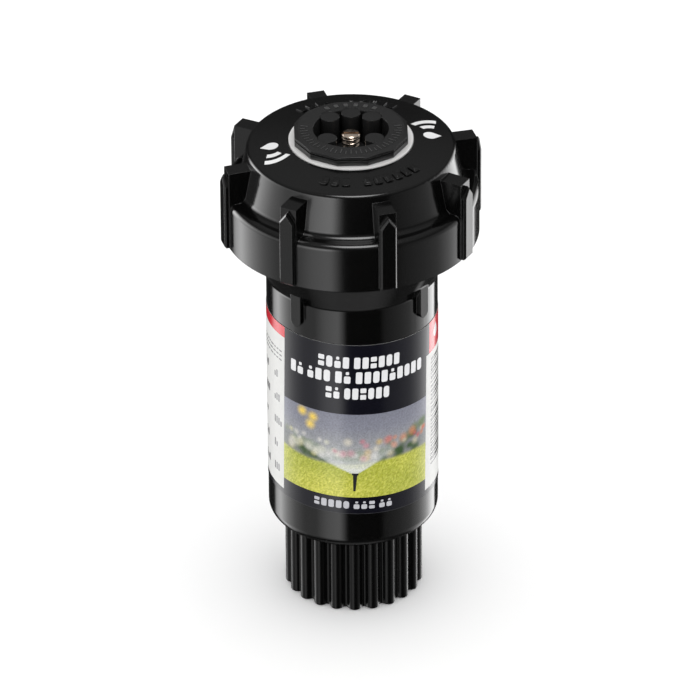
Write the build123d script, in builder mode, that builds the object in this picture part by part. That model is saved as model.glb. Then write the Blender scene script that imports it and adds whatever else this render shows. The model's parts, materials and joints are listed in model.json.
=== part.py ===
from build123d import *
import math
import os

# A pop up lawn sprinkler, in millimetres. +Z is up and the origin is the centre of the inlet's mouth.
# The front of the sprinkler faces -Y. Heights are named ..._z and are measured from the inlet's mouth.

os.makedirs("parts", exist_ok=True)

# ---------------------------------------------------------------- driving dimensions

# Inlet socket, which takes a half inch pipe thread
inlet_r = 9.2
inlet_depth = 15.0
inlet_lead_in = 0.8
socket_wall = 4.45
flute_count = 22
flute_r = 1.45
flute_proud = 1.4
flute_end_r = 0.45
flute_start_deg = 8.7

# Case
socket_height = 17.7
riser_r = 11.0
barrel_over_riser = 7.45
case_r = riser_r + barrel_over_riser
case_wall = 1.9
case_edge_r = 2.8
floor_thickness = 2.3
floor_hole_r = 7.6
barrel_height = 60.2
flare_deg = 29.0
neck_step = 3.95
neck_height = 9.5
flare_blend_r = 1.5

# Short ribs outside the top of the barrel
lug_count = 4
lug_start_deg = -38.0
lug_width = 2.6
lug_proud = 1.2
lug_bury = 0.45
lug_length = 7.6

# Guide ribs inside the barrel, which keep the ratchet ring from turning
spline_count = 4
spline_start_deg = 9.0
spline_width = 2.2
spline_depth = 1.3

# Coarse thread between neck and cap
thread_pitch = 4.0
thread_turns = 1.5
thread_root_width = 1.5
thread_crest_width = 0.8
neck_thread_depth = 1.6
cap_thread_depth = 1.6
thread_sink = 0.25
thread_gap = 0.4

# Sticker
label_thickness = 0.13
label_gap = 0.02
label_height = 43.6
label_above_edge = 8.3
label_open_deg = 24.0

# Cap
cap_hole_gap = 2.5
cap_skirt_wall = 3.0
cap_skirt_height = 11.1
cap_shoulder_r = 1.5
cap_shoulder_wall = 1.95
cap_cone_inset = 0.2
cap_cone_blend_r = 1.6
cap_cone_taper = 1.9
cap_cone_wall = 1.1
cap_cone_height = 9.3
cap_edge_r = 1.0
cap_dome_rise = 1.3
cap_plate = 2.0
cap_boss_wall = 1.8

# Grip ribs on the cap
rib_count = 8
rib_start_deg = 16.0
rib_width = 3.8
rib_top_drop = 1.7
rib_top_fall = 0.15
rib_proud = 0.15
rib_bury = 0.5
strip_width = 3.6
strip_proud = 1.2
strip_sink = 1.0
strip_shoulder_drop = 3.3
strip_apex_drop = 0.9
strip_foot_gap = 0.5
strip_chamfer = 0.35

# Wiper seal, its stiff insert, the spring seat and the cap gasket
seal_hub_gap = 0.2
seal_lip_gap = 0.06
seal_lip_height = 2.2
seal_bore_relief = 0.6
seal_top_above_cap = 0.2
seal_flange_gap = 0.9
seal_flange = 2.2
insert_thickness = 0.9
insert_inset = 0.8
seat_flange = 1.6
seat_skirt_wall = 1.0
seat_skirt_depth = 3.0
seat_skirt_gap = 0.35
seat_bore_gap = 0.15
seat_edge_gap = 0.1
gasket_thickness = 0.9
gasket_gap = 0.1
clamp_gap = 0.05

# Riser, foot and ratchet ring
riser_wall = 1.5
riser_below_cap = 0.3
foot_gap = 1.3
foot_flange = 2.4
foot_socket_depth = 1.4
foot_fit_gap = 0.05
tooth_count = 24
tooth_height = 0.7
tooth_start_gap = 0.6
tooth_inset = 0.4
tooth_gap = 0.2
ratchet_rim_gap = 0.45
ratchet_thickness = 2.6
ratchet_bore_gap = 0.1
spline_side_gap = 0.4
spline_tip_gap = 0.35

# Retract spring
spring_wire_r = 0.55
spring_gap = 1.95
spring_turns = 11
spring_end_gap = 0.1

# Nozzle
nozzle_sides = 12
nozzle_overhang = 1.48
nozzle_turn_deg = 1.4
nozzle_flange = 1.05
nozzle_slot = 0.35
nozzle_slot_inset = 1.18
nozzle_disc = 0.85
nozzle_bevel = 1.08
nozzle_bevel_height = 0.45
nozzle_above_seal = 0.15
nozzle_gasket_thickness = 0.65
recess_wall = 1.3
recess_depth = 8.6
skirt_fit_gap = 0.1
skirt_depth = 9.5
nozzle_floor = 1.6
back_post_angles = (50, 90, 130)
front_post_angles = (218, 322)
post_r = 2.05
post_gap = 0.08
scallop_wall = 0.3
front_post_set_in = 0.6
post_drop = 0.06
core_plate = 1.2
jet_hole_r = 1.1
jet_gap = 0.6
skirt_wall = 1.6
core_gap = 0.15
core_hub_wall = 1.15
core_hub_height = 2.6

# Adjusting screw
screw_r = 1.95
screw_drop = 1.1
screw_length = 17.5
screw_tip_length = 2.2
screw_tip_r = 0.7
screw_hole_gap = 0.1
screw_slot_width = 0.8
screw_slot_depth = 1.0

# Filter
filter_gap = 0.3
filter_ring_height = 2.0
filter_clearance = 2.1
filter_bar_r = 0.9
filter_bar_count = 6
filter_length = 34.0
mesh_thickness = 0.25
mesh_gap = 0.05
plug_height = 2.4

# ---------------------------------------------------------------- heights and radii that follow

socket_core_r = inlet_r + socket_wall
flute_tip_r = socket_core_r + flute_proud
case_inner_r = case_r - case_wall
neck_r = case_r + neck_step
neck_inner_r = neck_r - case_wall
floor_z = socket_height + floor_thickness
barrel_top_z = socket_height + barrel_height
flare_height = (neck_r - case_r) / math.tan(math.radians(flare_deg))
neck_z = barrel_top_z + flare_height
rim_z = neck_z + neck_height

cap_bore_r = neck_r + neck_thread_depth + thread_gap
cap_skirt_r = cap_bore_r + cap_skirt_wall
cap_shoulder_z = rim_z + gasket_thickness + seat_flange + clamp_gap + cap_shoulder_wall
cap_bottom_z = cap_shoulder_z - cap_skirt_height
cap_cone_top_z = cap_shoulder_z + cap_cone_height
cap_top_z = cap_cone_top_z + cap_dome_rise
cap_cone_foot_r = cap_bore_r - cap_cone_inset
cap_cone_top_r = cap_cone_foot_r - cap_cone_taper
cap_cavity_r = cap_cone_top_r - cap_cone_wall
cap_hole_r = riser_r + cap_hole_gap
cap_boss_r = cap_hole_r + cap_boss_wall

seat_z = rim_z + gasket_thickness
seat_top_z = seat_z + seat_flange
seal_flange_z = seat_top_z
seal_clamp_z = seal_flange_z + seal_flange
seal_hub_r = cap_hole_r - seal_hub_gap
seal_top_z = cap_top_z + seal_top_above_cap
seal_flange_r = cap_cavity_r - seal_flange_gap
insert_inner_r = seal_hub_r + insert_inset
insert_outer_r = seal_flange_r - insert_inset

riser_top_z = cap_top_z - riser_below_cap
riser_inner_r = riser_r - riser_wall
foot_z = floor_z + foot_gap
foot_top_z = foot_z + foot_flange
ratchet_z = foot_top_z + 2 * tooth_height + tooth_gap
ratchet_top_z = ratchet_z + ratchet_thickness
spline_r = case_inner_r - spline_depth
spring_mean_r = riser_r + spring_gap + spring_wire_r
foot_flange_r = spring_mean_r + 2 * spring_wire_r
tooth_inner_r = riser_r + tooth_start_gap
tooth_outer_r = foot_flange_r - tooth_inset
ratchet_r = case_inner_r - ratchet_rim_gap

nozzle_z = seal_top_z + nozzle_above_seal
nozzle_slot_z = nozzle_z + nozzle_flange
nozzle_disc_z = nozzle_slot_z + nozzle_slot
nozzle_top_z = nozzle_disc_z + nozzle_disc
recess_floor_z = nozzle_top_z - recess_depth
nozzle_corner_r = riser_r + nozzle_overhang
nozzle_slot_r = nozzle_corner_r - nozzle_slot_inset
nozzle_bevel_r = nozzle_corner_r - nozzle_bevel
skirt_r = riser_inner_r - skirt_fit_gap
recess_r = skirt_r - recess_wall
back_post_ring_r = skirt_r - scallop_wall - post_gap - post_r
front_post_ring_r = back_post_ring_r - front_post_set_in
post_centres = [(back_post_ring_r, angle) for angle in back_post_angles]
post_centres += [(front_post_ring_r, angle) for angle in front_post_angles]
skirt_z = nozzle_z - skirt_depth
screw_top_z = nozzle_top_z - screw_drop
screw_hole_r = screw_r + screw_hole_gap
core_hub_r = screw_hole_r + core_hub_wall
jet_ring_r = core_hub_r + jet_gap + jet_hole_r
filter_top_z = skirt_z
filter_r = riser_inner_r - filter_gap
filter_frame_r = riser_inner_r - filter_clearance

UP = Vector(0, 0, 1)


def facing(degrees):
    """The level direction at this angle from the front, counted towards +X."""
    turn = math.radians(degrees)
    return Vector(math.sin(turn), -math.cos(turn), 0)


def radial_plane(degrees):
    """Local x runs outwards and local y runs up, so a sketch on it is a section."""
    out = facing(degrees)
    return Plane(origin=(0, 0, 0), x_dir=out, z_dir=out.cross(UP))


def tangent_plane(degrees, radius):
    """Faces outwards at this radius: local x runs round the object and local y up."""
    out = facing(degrees)
    return Plane(origin=out * radius, x_dir=UP.cross(out), z_dir=out)


def thread_section(path_start, path_direction, width_root, width_crest, reach):
    """A trapezium standing on a wall. It reaches outwards, or inwards if reach is negative."""
    plane = Plane(origin=path_start, x_dir=(1, 0, 0), z_dir=path_direction)
    sink = -thread_sink if reach > 0 else thread_sink
    with BuildSketch(plane) as section:
        with BuildLine():
            Polyline(
                (sink, -width_root / 2),
                (reach, -width_crest / 2),
                (reach, width_crest / 2),
                (sink, width_root / 2),
                close=True,
            )
        make_face()
    return section.sketch


def helical_ridge(radius, start_z, reach):
    """A thread ridge along a helix that starts at this height."""
    with BuildPart() as ridge:
        with BuildLine(Plane.XY.offset(start_z)) as path:
            Helix(pitch=thread_pitch, height=thread_pitch * thread_turns, radius=radius)
        start = path.line @ 0
        add(thread_section(start, path.line % 0, thread_root_width, thread_crest_width, reach))
        sweep(path=path.line, is_frenet=True)
    return ridge.part


def polar(radius, degrees):
    """A point on a level sketch."""
    turn = math.radians(degrees)
    return (radius * math.cos(turn), radius * math.sin(turn))


def round_corner(sketch, radius, height, fillet_r):
    """Round the corner of a section that lies nearest to this radius and height."""
    fillet(sketch.vertices().sort_by_distance((radius, height, 0))[0], fillet_r)


def save(piece, name):
    """Label the piece and write its STEP file."""
    piece.label = name
    export_step(piece, f"parts/{name}.step")


# ---------------------------------------------------------------- case

lug_top_z = barrel_top_z + lug_proud / math.tan(math.radians(flare_deg)) + 0.1
lug_foot_r = case_r - lug_bury
neck_thread_z = rim_z - 1.2 - thread_pitch * thread_turns

# Round flutes and round valleys that run into each other without a corner. Each valley touches the flutes
# beside it, so the distance between their centres is flute_r + valley_r.
flute_pitch_deg = 360 / flute_count
flute_centre_r = flute_tip_r - flute_r
flute_centre_in = flute_centre_r * math.cos(math.radians(flute_pitch_deg / 2))
square_gap = flute_centre_r**2 + socket_core_r**2 - 2 * socket_core_r * flute_centre_in - flute_r**2
valley_r = square_gap / (2 * (flute_r - socket_core_r + flute_centre_in))
valley_centre_r = socket_core_r + valley_r
flute_ring_inner_r = socket_core_r - 1.5

with BuildPart() as socket:
    with BuildSketch(Plane.XY) as flutes:
        with BuildLine():
            for number in range(flute_count):
                middle = flute_start_deg + number * flute_pitch_deg
                valley_deg = middle + flute_pitch_deg / 2
                centre = Vector(*polar(flute_centre_r, middle))
                towards = Vector(*polar(valley_centre_r, valley_deg)) - centre
                away = Vector(*polar(valley_centre_r, valley_deg - flute_pitch_deg)) - centre
                flute_end = centre + towards.normalized() * flute_r
                flute_start = centre + away.normalized() * flute_r
                next_start = flute_start.rotate(Axis.Z, flute_pitch_deg)
                ThreePointArc(flute_start, polar(flute_tip_r, middle), flute_end)
                ThreePointArc(flute_end, polar(socket_core_r, valley_deg), next_start)
        make_face()
    extrude(amount=socket_height + 1.0)
    bottom_face = socket.faces().sort_by(Axis.Z)[0]
    fillet(bottom_face.outer_wire().edges(), flute_end_r)
    with BuildSketch(Plane.XY):
        Circle(flute_ring_inner_r)
    extrude(amount=socket_height + 1.0, mode=Mode.SUBTRACT)

with BuildPart() as case:
    with BuildSketch(Plane.XZ) as section:
        with BuildLine():
            Polyline(
                (inlet_r + inlet_lead_in, 0),
                (flute_ring_inner_r + 0.5, 0),
                (flute_ring_inner_r + 0.5, socket_height),
                (case_r, socket_height),
                (case_r, barrel_top_z),
                (neck_r, neck_z),
                (neck_r, rim_z),
                (neck_inner_r, rim_z),
                (neck_inner_r, neck_z),
                (case_inner_r, barrel_top_z),
                (case_inner_r, floor_z),
                (floor_hole_r, floor_z),
                (floor_hole_r, inlet_depth + inlet_lead_in),
                (inlet_r, inlet_depth + inlet_lead_in),
                (inlet_r, inlet_lead_in),
                close=True,
            )
        make_face()
        round_corner(section, case_r, socket_height, case_edge_r)
        round_corner(section, case_r, barrel_top_z, flare_blend_r)
        round_corner(section, neck_r, neck_z, flare_blend_r)
    revolve(axis=Axis.Z)
    add(socket.part)
    # short ribs under the flare
    for number in range(lug_count):
        angle = lug_start_deg + number * 360 / lug_count
        with BuildSketch(tangent_plane(angle, lug_foot_r)) as lug:
            with BuildLine():
                bottom = lug_top_z - lug_length
                side = lug_width / 2
                Line((-side, lug_top_z), (-side, bottom + side))
                ThreePointArc((-side, bottom + side), (0, bottom), (side, bottom + side))
                Polyline((side, bottom + side), (side, lug_top_z), (-side, lug_top_z))
            make_face()
        extrude(amount=case_r + lug_proud - lug_foot_r)
    # guide ribs inside the barrel
    for number in range(spline_count):
        angle = spline_start_deg + number * 360 / spline_count
        with BuildSketch(tangent_plane(angle, spline_r)) as spline:
            with BuildLine():
                side = spline_width / 2
                Polyline(
                    (-side, floor_z - 0.5),
                    (side, floor_z - 0.5),
                    (side, lug_top_z),
                    (-side, lug_top_z),
                    close=True,
                )
            make_face()
        extrude(amount=lug_foot_r - spline_r)
    add(helical_ridge(neck_r, neck_thread_z, neck_thread_depth))
save(case.part, "case")

# ---------------------------------------------------------------- label

label_bottom_z = socket_height + label_above_edge
label_r = case_r + label_gap

with BuildPart() as label:
    with BuildSketch(Plane.XY.offset(label_bottom_z)) as ring:
        Circle(label_r + label_thickness)
        Circle(label_r, mode=Mode.SUBTRACT)
        # the sticker's ends leave a gap at the back
        with BuildLine():
            half = math.radians(label_open_deg / 2)
            reach = 2 * case_r
            Polyline(
                (0, 0),
                (reach * math.sin(half), reach * math.cos(half)),
                (-reach * math.sin(half), reach * math.cos(half)),
                close=True,
            )
        make_face(mode=Mode.SUBTRACT)
    extrude(amount=label_height)
save(label.part, "label")

# ---------------------------------------------------------------- cap

rib_block_r = cap_skirt_r + rib_proud
strip_r = cap_skirt_r + strip_proud
strip_bottom_z = cap_bottom_z + strip_foot_gap
rib_top_z = cap_cone_top_z - rib_top_drop

with BuildPart() as grip_rib:
    # the block that stands out from the cone
    with BuildSketch(radial_plane(rib_start_deg)) as block:
        with BuildLine():
            inner = cap_cone_top_r - rib_bury
            Polyline(
                (inner, rib_top_z),
                (rib_block_r, rib_top_z - rib_top_fall),
                (rib_block_r, strip_bottom_z),
                (cap_bore_r + rib_bury, strip_bottom_z),
                (cap_bore_r + rib_bury, cap_shoulder_z - rib_bury),
                (inner, cap_shoulder_z - rib_bury),
                close=True,
            )
        make_face()
    extrude(amount=rib_width / 2, both=True)
    # the pointed strip on its face
    with BuildSketch(tangent_plane(rib_start_deg, rib_block_r - strip_sink)) as strip:
        with BuildLine():
            side = strip_width / 2
            Polyline(
                (-side, strip_bottom_z),
                (side, strip_bottom_z),
                (side, rib_top_z - strip_shoulder_drop),
                (0, rib_top_z - strip_apex_drop),
                (-side, rib_top_z - strip_shoulder_drop),
                close=True,
            )
        make_face()
    extrude(amount=strip_r - rib_block_r + strip_sink)
    front = grip_rib.faces().sort_by(Axis(origin=(0, 0, 0), direction=facing(rib_start_deg)))[-1]
    chamfer(front.edges(), strip_chamfer)

with BuildPart() as cap:
    with BuildSketch(Plane.XZ) as section:
        with BuildLine():
            Polyline(
                (cap_bore_r, cap_bottom_z),
                (cap_skirt_r, cap_bottom_z),
                (cap_skirt_r, cap_shoulder_z),
                (cap_cone_foot_r, cap_shoulder_z),
                (cap_cone_top_r, cap_cone_top_z),
                (cap_hole_r, cap_top_z),
                (cap_hole_r, seal_clamp_z),
                (cap_boss_r, seal_clamp_z),
                (cap_boss_r, cap_cone_top_z - cap_plate),
                (cap_cavity_r, cap_cone_top_z - cap_plate),
                (cap_cavity_r, cap_shoulder_z - cap_shoulder_wall),
                (cap_bore_r, cap_shoulder_z - cap_shoulder_wall),
                close=True,
            )
        make_face()
        round_corner(section, cap_skirt_r, cap_shoulder_z, cap_shoulder_r)
        round_corner(section, cap_cone_foot_r, cap_shoulder_z, cap_cone_blend_r)
        round_corner(section, cap_cone_top_r, cap_cone_top_z, cap_edge_r)
    revolve(axis=Axis.Z)
    with PolarLocations(0, rib_count):
        add(grip_rib.part)
    # half a pitch away from the neck's ridge
    add(helical_ridge(cap_bore_r, neck_thread_z + thread_pitch / 2, -cap_thread_depth))
save(cap.part, "cap")

# ---------------------------------------------------------------- seals and spring seat

with BuildPart() as cap_gasket:
    with BuildSketch(Plane.XY.offset(rim_z)):
        Circle(neck_r - gasket_gap)
        Circle(neck_inner_r + gasket_gap, mode=Mode.SUBTRACT)
    extrude(amount=gasket_thickness)
save(cap_gasket.part, "cap_gasket")

with BuildPart() as spring_seat:
    with BuildSketch(Plane.XZ):
        with BuildLine():
            skirt_outer_r = neck_inner_r - seat_skirt_gap
            Polyline(
                (riser_r + seat_bore_gap, seat_z),
                (skirt_outer_r - seat_skirt_wall, seat_z),
                (skirt_outer_r - seat_skirt_wall, rim_z - seat_skirt_depth),
                (skirt_outer_r, rim_z - seat_skirt_depth),
                (skirt_outer_r, seat_z),
                (neck_r - seat_edge_gap, seat_z),
                (neck_r - seat_edge_gap, seat_top_z),
                (riser_r + seat_bore_gap, seat_top_z),
                close=True,
            )
        make_face()
    revolve(axis=Axis.Z)
save(spring_seat.part, "spring_seat")

with BuildPart() as seal_insert:
    with BuildSketch(Plane.XY.offset(seal_flange_z)):
        Circle(insert_outer_r)
        Circle(insert_inner_r, mode=Mode.SUBTRACT)
    extrude(amount=insert_thickness)
save(seal_insert.part, "seal_insert")

with BuildPart() as wiper_seal:
    with BuildSketch(Plane.XZ):
        with BuildLine():
            lip_r = riser_r + seal_lip_gap
            Polyline(
                (lip_r + seal_bore_relief, seal_flange_z),
                (seal_flange_r, seal_flange_z),
                (seal_flange_r, seal_clamp_z),
                (seal_hub_r, seal_clamp_z),
                (seal_hub_r, seal_top_z),
                (lip_r, seal_top_z),
                (lip_r, seal_top_z - seal_lip_height),
                (lip_r + seal_bore_relief, seal_top_z - seal_lip_height - seal_bore_relief),
                close=True,
            )
        make_face()
    revolve(axis=Axis.Z)
    # the pocket for the stiff insert
    add(seal_insert.part, mode=Mode.SUBTRACT)
save(wiper_seal.part, "wiper_seal")

# ---------------------------------------------------------------- riser, foot and ratchet ring

riser_z = foot_top_z - foot_socket_depth

with BuildPart() as riser:
    with BuildSketch(Plane.XY.offset(riser_z)):
        Circle(riser_r)
        Circle(riser_inner_r, mode=Mode.SUBTRACT)
    extrude(amount=riser_top_z - riser_z)
save(riser.part, "riser")


def ring_of_teeth(base_z, height):
    """Ratchet teeth as wedges with one steep side, standing on a level face or hanging from it."""
    tooth_deg = 360 / tooth_count
    with BuildPart() as teeth:
        with BuildSketch(tangent_plane(90, tooth_outer_r)):
            with BuildLine():
                half_pitch = tooth_inner_r * math.radians(tooth_deg) / 2
                Polyline(
                    (-half_pitch, base_z - math.copysign(thread_sink, height)),
                    (half_pitch, base_z - math.copysign(thread_sink, height)),
                    (half_pitch, base_z + height),
                    (-half_pitch, base_z),
                    close=True,
                )
            make_face()
        extrude(amount=tooth_inner_r - tooth_outer_r)
    return teeth.part


with BuildPart() as riser_foot:
    with BuildSketch(Plane.XZ):
        with BuildLine():
            Polyline(
                (riser_inner_r, foot_z),
                (foot_flange_r, foot_z),
                (foot_flange_r, foot_top_z),
                (riser_r + foot_fit_gap, foot_top_z),
                (riser_r + foot_fit_gap, riser_z),
                (riser_inner_r, riser_z),
                close=True,
            )
        make_face()
    revolve(axis=Axis.Z)
    with PolarLocations(0, tooth_count):
        add(ring_of_teeth(foot_top_z, tooth_height))
save(riser_foot.part, "riser_foot")

with BuildPart() as ratchet_ring:
    with BuildSketch(Plane.XY.offset(ratchet_z)):
        Circle(ratchet_r)
        Circle(riser_r + ratchet_bore_gap, mode=Mode.SUBTRACT)
        notch_r = spline_r - spline_tip_gap
        for number in range(spline_count):
            middle = facing(spline_start_deg + number * 360 / spline_count) * case_inner_r
            with Locations((middle.X, middle.Y)):
                Rectangle(
                    2 * (case_inner_r - notch_r),
                    spline_width + 2 * spline_side_gap,
                    rotation=spline_start_deg + number * 360 / spline_count - 90,
                    mode=Mode.SUBTRACT,
                )
    extrude(amount=ratchet_thickness)
    with PolarLocations(0, tooth_count):
        add(ring_of_teeth(ratchet_z, -tooth_height))
save(ratchet_ring.part, "ratchet_ring")

# ---------------------------------------------------------------- retract spring

spring_bottom_z = ratchet_top_z + spring_end_gap + spring_wire_r
spring_top_z = seat_z - spring_end_gap - spring_wire_r

with BuildPart() as retract_spring:
    with BuildLine(Plane.XY.offset(spring_bottom_z)) as wire:
        rise = spring_top_z - spring_bottom_z
        Helix(pitch=rise / spring_turns, height=rise, radius=spring_mean_r)
    with BuildSketch(Plane(origin=wire.line @ 0, z_dir=wire.line % 0)):
        Circle(spring_wire_r)
    sweep(path=wire.line, is_frenet=True)
save(retract_spring.part, "retract_spring")

# ---------------------------------------------------------------- nozzle


def twelve_sided(height_z):
    """The outline of the nozzle's flange and disc at this height."""
    turn_deg = 180 / nozzle_sides + nozzle_turn_deg
    with BuildSketch(Plane.XY.offset(height_z)) as outline:
        RegularPolygon(radius=nozzle_corner_r, side_count=nozzle_sides, rotation=turn_deg)
    return outline.sketch


def recess_outline(height_z):
    """The round recess with a scallop behind each post."""
    with BuildSketch(Plane.XY.offset(height_z)) as outline:
        Circle(recess_r)
        for ring_r, angle in post_centres:
            with Locations(polar(ring_r, angle)):
                Circle(post_r + post_gap)
    return outline.sketch


floor_under_z = recess_floor_z - nozzle_floor

with BuildPart() as nozzle_base:
    with BuildSketch(Plane.XY.offset(skirt_z)):
        Circle(skirt_r)
    extrude(amount=nozzle_z - skirt_z)
    add(twelve_sided(nozzle_z))
    extrude(amount=nozzle_flange)
    with BuildSketch(Plane.XY.offset(nozzle_slot_z)):
        Circle(nozzle_slot_r)
    extrude(amount=nozzle_slot)
    add(recess_outline(recess_floor_z))
    extrude(amount=nozzle_disc_z - recess_floor_z, mode=Mode.SUBTRACT)
    with BuildSketch(Plane.XY.offset(skirt_z)):
        Circle(skirt_r - skirt_wall)
    extrude(amount=floor_under_z - skirt_z, mode=Mode.SUBTRACT)
    with BuildSketch(Plane.XY.offset(floor_under_z)):
        Circle(screw_hole_r)
        with PolarLocations(jet_ring_r, 4):
            Circle(jet_hole_r)
    extrude(amount=nozzle_floor, mode=Mode.SUBTRACT)
save(nozzle_base.part, "nozzle_base")

with BuildPart() as nozzle_deflector:
    add(twelve_sided(nozzle_disc_z))
    extrude(amount=nozzle_disc)
    with BuildSketch(Plane.XZ):
        with BuildLine():
            edge_r = nozzle_bevel_r + (nozzle_corner_r - nozzle_bevel_r) * nozzle_disc / nozzle_bevel_height
            Polyline(
                (0, nozzle_top_z),
                (nozzle_bevel_r, nozzle_top_z),
                (edge_r, nozzle_disc_z),
                (0, nozzle_disc_z),
                close=True,
            )
        make_face()
    revolve(axis=Axis.Z, mode=Mode.INTERSECT)
    add(recess_outline(nozzle_disc_z))
    extrude(amount=nozzle_disc, mode=Mode.SUBTRACT)
save(nozzle_deflector.part, "nozzle_deflector")

with BuildPart() as nozzle_core:
    with BuildSketch(Plane.XY.offset(recess_floor_z)):
        Circle(recess_r - core_gap)
        with PolarLocations(jet_ring_r, 4):
            Circle(jet_hole_r, mode=Mode.SUBTRACT)
    extrude(amount=core_plate)
    with BuildSketch(Plane.XY.offset(recess_floor_z + core_plate)):
        Circle(core_hub_r)
    extrude(amount=core_hub_height)
    with BuildSketch(Plane.XY.offset(recess_floor_z)):
        for ring_r, angle in post_centres:
            with Locations(polar(ring_r, angle)):
                Circle(post_r)
    extrude(amount=nozzle_top_z - post_drop - recess_floor_z)
    with BuildSketch(Plane.XY.offset(recess_floor_z)):
        Circle(screw_hole_r)
    extrude(amount=core_plate + core_hub_height, mode=Mode.SUBTRACT)
save(nozzle_core.part, "nozzle_core")

with BuildPart() as nozzle_gasket:
    with BuildSketch(Plane.XY.offset(riser_top_z)):
        Circle(riser_r - gasket_gap)
        Circle(riser_inner_r + gasket_gap, mode=Mode.SUBTRACT)
    extrude(amount=nozzle_z - riser_top_z)
save(nozzle_gasket.part, "nozzle_gasket")

screw_bottom_z = screw_top_z - screw_length

with BuildPart() as adjusting_screw:
    with BuildSketch(Plane.XZ):
        with BuildLine():
            Polyline(
                (0, screw_bottom_z),
                (screw_tip_r, screw_bottom_z),
                (screw_r, screw_bottom_z + screw_tip_length),
                (screw_r, screw_top_z),
                (0, screw_top_z),
                close=True,
            )
        make_face()
    revolve(axis=Axis.Z)
    with BuildSketch(Plane.XY.offset(screw_top_z - screw_slot_depth)):
        Rectangle(3 * screw_r, screw_slot_width)
    extrude(amount=screw_slot_depth, mode=Mode.SUBTRACT)
save(adjusting_screw.part, "adjusting_screw")

# ---------------------------------------------------------------- filter

filter_ring_z = filter_top_z - filter_ring_height
filter_end_z = filter_ring_z - filter_length
bar_ring_r = filter_frame_r - filter_bar_r

with BuildPart() as filter_frame:
    with BuildSketch(Plane.XY.offset(filter_ring_z)):
        Circle(filter_r)
        Circle(bar_ring_r - filter_bar_r, mode=Mode.SUBTRACT)
    extrude(amount=filter_ring_height)
    with BuildSketch(Plane.XY.offset(filter_end_z)):
        with PolarLocations(bar_ring_r, filter_bar_count):
            Circle(filter_bar_r)
    extrude(amount=filter_length)
    with BuildSketch(Plane.XY.offset(filter_end_z)):
        Circle(filter_frame_r)
        Circle(bar_ring_r - filter_bar_r, mode=Mode.SUBTRACT)
    extrude(amount=filter_ring_height)
save(filter_frame.part, "filter_frame")

with BuildPart() as filter_mesh:
    with BuildSketch(Plane.XY.offset(filter_end_z)):
        Circle(filter_frame_r + mesh_gap + mesh_thickness)
        Circle(filter_frame_r + mesh_gap, mode=Mode.SUBTRACT)
    extrude(amount=filter_length)
save(filter_mesh.part, "filter_mesh")

with BuildPart() as filter_plug:
    with BuildSketch(Plane.XY.offset(filter_end_z - plug_height)):
        Circle(filter_frame_r + mesh_gap + mesh_thickness)
    extrude(amount=plug_height)
    chamfer(filter_plug.edges().group_by(Axis.Z)[0], plug_height / 3)
save(filter_plug.part, "filter_plug")
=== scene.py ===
import json
import math
import random

import bmesh
import bpy
from mathutils import Matrix, Vector


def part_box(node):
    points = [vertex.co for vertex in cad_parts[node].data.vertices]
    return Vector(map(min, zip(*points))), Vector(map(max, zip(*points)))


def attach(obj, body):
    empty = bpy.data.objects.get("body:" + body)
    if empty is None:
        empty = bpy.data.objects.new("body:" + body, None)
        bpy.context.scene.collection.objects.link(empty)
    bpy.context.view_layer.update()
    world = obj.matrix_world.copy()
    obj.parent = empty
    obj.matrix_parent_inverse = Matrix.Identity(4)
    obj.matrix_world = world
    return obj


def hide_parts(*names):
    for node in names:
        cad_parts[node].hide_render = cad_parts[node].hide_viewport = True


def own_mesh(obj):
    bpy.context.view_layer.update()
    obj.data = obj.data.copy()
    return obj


# A pop up sprinkler on a pale floor, in metres. The front faces -Y and +Z is up.
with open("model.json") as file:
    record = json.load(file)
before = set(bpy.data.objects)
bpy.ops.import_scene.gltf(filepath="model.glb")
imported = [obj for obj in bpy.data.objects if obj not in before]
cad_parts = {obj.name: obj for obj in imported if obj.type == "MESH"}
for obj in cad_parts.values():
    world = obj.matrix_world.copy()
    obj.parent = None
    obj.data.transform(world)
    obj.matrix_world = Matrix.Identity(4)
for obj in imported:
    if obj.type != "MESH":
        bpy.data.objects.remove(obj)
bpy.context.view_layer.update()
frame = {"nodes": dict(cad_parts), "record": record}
nodes = frame["nodes"]
MM = 0.001
chance = random.Random(7)

# ---------------------------------------------------------------- sizes read from the frame

label_low, label_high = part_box("label")
cap_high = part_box("cap")[1]
screw_low, screw_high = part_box("adjusting_screw")
spring_low, spring_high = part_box("retract_spring")
disc_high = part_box("nozzle_deflector")[1]
mesh_low, mesh_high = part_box("filter_mesh")
inlet_r = frame["record"]["mounts"][0]["dims"]["r_mm"] * MM
inlet_length = frame["record"]["mounts"][0]["dims"]["length_mm"] * MM

SOCKET_TOP = 17.8 * MM

# ---------------------------------------------------------------- node helpers


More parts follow.
